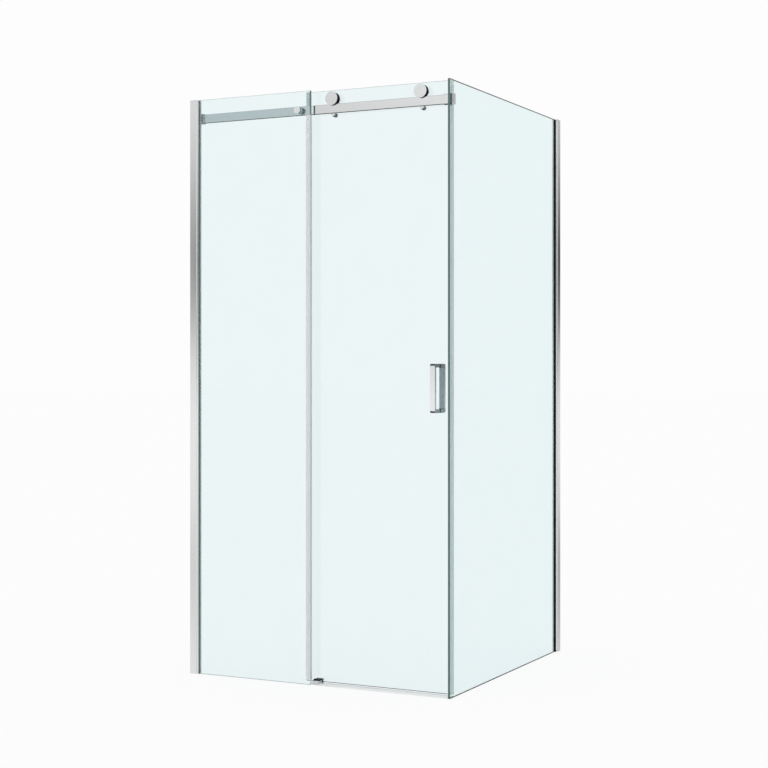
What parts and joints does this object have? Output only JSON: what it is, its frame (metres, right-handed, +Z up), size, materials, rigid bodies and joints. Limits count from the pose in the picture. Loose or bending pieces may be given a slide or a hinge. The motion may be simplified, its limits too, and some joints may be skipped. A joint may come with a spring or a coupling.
{
  "type": "corner shower enclosure",
  "caption": "Frameless corner shower enclosure: a glass door on grooved rollers slides along a flat rail past a fixed panel, with a glass return panel",
  "frame": {"origin": "Middle of the footprint, on the shower tray", "axes": "+X is to the right seen from the front, +Y points to the back wall and +Z is up"},
  "size_m": [1, 1, 2],
  "materials": {
    "clear_glass": "clear, polished edges",
    "clear_seal": "clear soft plastic",
    "clear_pad": "clear soft plastic",
    "black_rubber": "soft black rubber",
    "polished_aluminium": "bright anodised",
    "satin_aluminium": "satin",
    "grey_plastic": "moulded",
    "nylon": "dark nylon",
    "steel": "turned",
    "chrome": "polished"
  },
  "bodies": {
    "enclosure": {"adjusting_profile_left": "polished_aluminium", "adjusting_profile_right": "polished_aluminium", "bottom_guide": "nylon", "connector_cap": "chrome", "connector_pads": "clear_pad", "connector_spacer": "chrome", "fixed_edge_strip": "clear_seal", "fixed_glass": "clear_glass", "glazing_gaskets_left": "black_rubber", "glazing_gaskets_right": "black_rubber", "guide_liners": "clear_pad", "profile_cap_left": "grey_plastic", "profile_cap_right": "grey_plastic", "rail": "chrome", "rail_end_block": "chrome", "rail_wall_socket": "chrome", "return_clamp_cap": "chrome", "return_clamp_pads": "black_rubber", "return_glass": "clear_glass", "threshold_bar": "satin_aluminium", "wall_channel_left": "polished_aluminium", "wall_channel_right": "polished_aluminium"},
    "door": {"anti_lift_lugs": "chrome", "anti_lift_nuts": "chrome", "anti_lift_pads": "clear_pad", "door_closing_strip": "clear_seal", "door_glass": "clear_glass", "door_leading_strip": "clear_seal", "handle_inner": "chrome", "handle_outer": "chrome", "handle_pads": "black_rubber", "handle_studs": "steel", "roller_caps": "chrome", "roller_nuts": "chrome", "roller_pads": "clear_pad", "roller_spacers": "steel"},
    "wheel_left": {"roller_wheel_left": "nylon"},
    "wheel_right": {"roller_wheel_right": "nylon"}
  },
  "joints": [
    {"name": "door_slide", "type": "slide", "parent": "enclosure", "child": "door", "axis": [-1, 0, 0], "range_m": [0, 0.42]},
    {"name": "wheel_left_spin", "type": "hinge", "parent": "door", "child": "wheel_left", "pos_m": [0.0495, -0.468, 1.97], "axis": [0, 1, 0], "range_deg": [-1700, 60]},
    {"name": "wheel_right_spin", "type": "hinge", "parent": "door", "child": "wheel_right", "pos_m": [0.3785, -0.468, 1.97], "axis": [0, 1, 0], "range_deg": [-1700, 60]}
  ],
  "couplings": [
    {"joint": "wheel_left_spin", "follows": "door_slide", "rad_per_m": -54.945},
    {"joint": "wheel_right_spin", "follows": "door_slide", "rad_per_m": -54.945}
  ]
}
